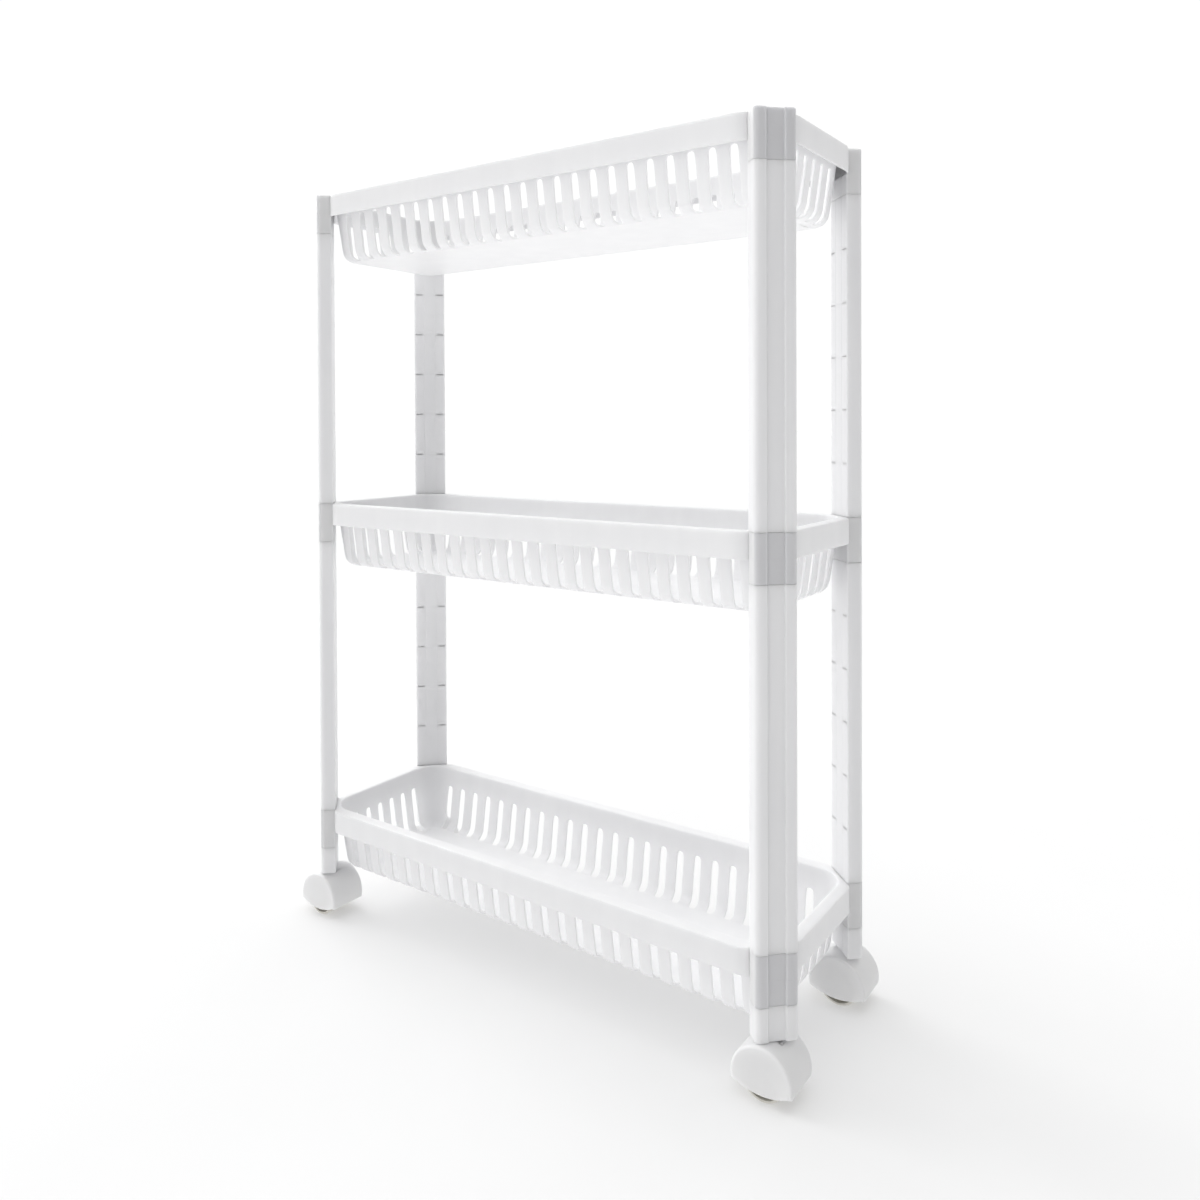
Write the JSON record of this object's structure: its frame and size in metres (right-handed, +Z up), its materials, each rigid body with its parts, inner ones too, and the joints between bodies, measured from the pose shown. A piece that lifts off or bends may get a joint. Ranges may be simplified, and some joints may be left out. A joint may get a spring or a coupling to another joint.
{
  "type": "rolling pantry cart",
  "caption": "Slim rolling storage cart with slotted basket trays held by diagonal corner posts, on small hooded swivel casters.",
  "frame": {"origin": "on the floor under the centre of the cart, at the bottom centre of the bounding box", "axes": "+Z up, +X along the long side of the trays, the front long side facing -Y"},
  "size_m": [0.4618, 0.158, 0.621],
  "materials": {
    "tray_plastic": "semi-gloss white polypropylene",
    "post_plastic": "semi-gloss white polypropylene",
    "hood_plastic": "semi-gloss white polypropylene",
    "wheel_plastic": "satin off-white hard plastic",
    "zinc_steel": "zinc plated"
  },
  "bodies": {
    "frame": {"top_tray": "tray_plastic", "middle_tray": "tray_plastic", "bottom_tray": "tray_plastic", "lower_post_front_left": "post_plastic", "upper_post_front_left": "post_plastic", "leg_front_left": "post_plastic", "lower_post_front_right": "post_plastic", "upper_post_front_right": "post_plastic", "leg_front_right": "post_plastic", "lower_post_back_left": "post_plastic", "upper_post_back_left": "post_plastic", "leg_back_left": "post_plastic", "lower_post_back_right": "post_plastic", "upper_post_back_right": "post_plastic", "leg_back_right": "post_plastic"},
    "caster_front_left": {"caster_hood_front_left": "hood_plastic", "caster_stem_front_left": "zinc_steel", "stem_ring_front_left": "zinc_steel", "wheel_axle_front_left": "zinc_steel"},
    "caster_front_right": {"caster_hood_front_right": "hood_plastic", "caster_stem_front_right": "zinc_steel", "stem_ring_front_right": "zinc_steel", "wheel_axle_front_right": "zinc_steel"},
    "caster_back_left": {"caster_hood_back_left": "hood_plastic", "caster_stem_back_left": "zinc_steel", "stem_ring_back_left": "zinc_steel", "wheel_axle_back_left": "zinc_steel"},
    "caster_back_right": {"caster_hood_back_right": "hood_plastic", "caster_stem_back_right": "zinc_steel", "stem_ring_back_right": "zinc_steel", "wheel_axle_back_right": "zinc_steel"},
    "wheel_left_front_left": {"wheel_left_front_left": "wheel_plastic"},
    "wheel_right_front_left": {"wheel_right_front_left": "wheel_plastic"},
    "wheel_left_front_right": {"wheel_left_front_right": "wheel_plastic"},
    "wheel_right_front_right": {"wheel_right_front_right": "wheel_plastic"},
    "wheel_left_back_left": {"wheel_left_back_left": "wheel_plastic"},
    "wheel_right_back_left": {"wheel_right_back_left": "wheel_plastic"},
    "wheel_left_back_right": {"wheel_left_back_right": "wheel_plastic"},
    "wheel_right_back_right": {"wheel_right_back_right": "wheel_plastic"}
  },
  "joints": [
    {"name": "swivel_front_left", "type": "hinge", "parent": "frame", "child": "caster_front_left", "pos_m": [-0.21129, -0.06259, 0.036], "axis": [0, 0, 1], "continuous": true},
    {"name": "swivel_front_right", "type": "hinge", "parent": "frame", "child": "caster_front_right", "pos_m": [0.21129, -0.06259, 0.036], "axis": [0, 0, 1], "continuous": true},
    {"name": "swivel_back_left", "type": "hinge", "parent": "frame", "child": "caster_back_left", "pos_m": [-0.21129, 0.06259, 0.036], "axis": [0, 0, 1], "continuous": true},
    {"name": "swivel_back_right", "type": "hinge", "parent": "frame", "child": "caster_back_right", "pos_m": [0.21129, 0.06259, 0.036], "axis": [0, 0, 1], "continuous": true},
    {"name": "spin_left_front_left", "type": "hinge", "parent": "caster_front_left", "child": "wheel_left_front_left", "pos_m": [-0.20949, -0.06261, 0.0145], "axis": [0.0087, 1, 0], "continuous": true},
    {"name": "spin_right_front_left", "type": "hinge", "parent": "caster_front_left", "child": "wheel_right_front_left", "pos_m": [-0.20949, -0.06261, 0.0145], "axis": [0.0087, 1, 0], "continuous": true},
    {"name": "spin_left_front_right", "type": "hinge", "parent": "caster_front_right", "child": "wheel_left_front_right", "pos_m": [0.20949, -0.06258, 0.0145], "axis": [-0.0087, -1, 0], "continuous": true},
    {"name": "spin_right_front_right", "type": "hinge", "parent": "caster_front_right", "child": "wheel_right_front_right", "pos_m": [0.20949, -0.06258, 0.0145], "axis": [-0.0087, -1, 0], "continuous": true},
    {"name": "spin_left_back_left", "type": "hinge", "parent": "caster_back_left", "child": "wheel_left_back_left", "pos_m": [-0.20949, 0.06261, 0.0145], "axis": [-0.0087, 1, 0], "continuous": true},
    {"name": "spin_right_back_left", "type": "hinge", "parent": "caster_back_left", "child": "wheel_right_back_left", "pos_m": [-0.20949, 0.06261, 0.0145], "axis": [-0.0087, 1, 0], "continuous": true},
    {"name": "spin_left_back_right", "type": "hinge", "parent": "caster_back_right", "child": "wheel_left_back_right", "pos_m": [0.20949, 0.06258, 0.0145], "axis": [0.0087, -1, 0], "continuous": true},
    {"name": "spin_right_back_right", "type": "hinge", "parent": "caster_back_right", "child": "wheel_right_back_right", "pos_m": [0.20949, 0.06258, 0.0145], "axis": [0.0087, -1, 0], "continuous": true}
  ]
}
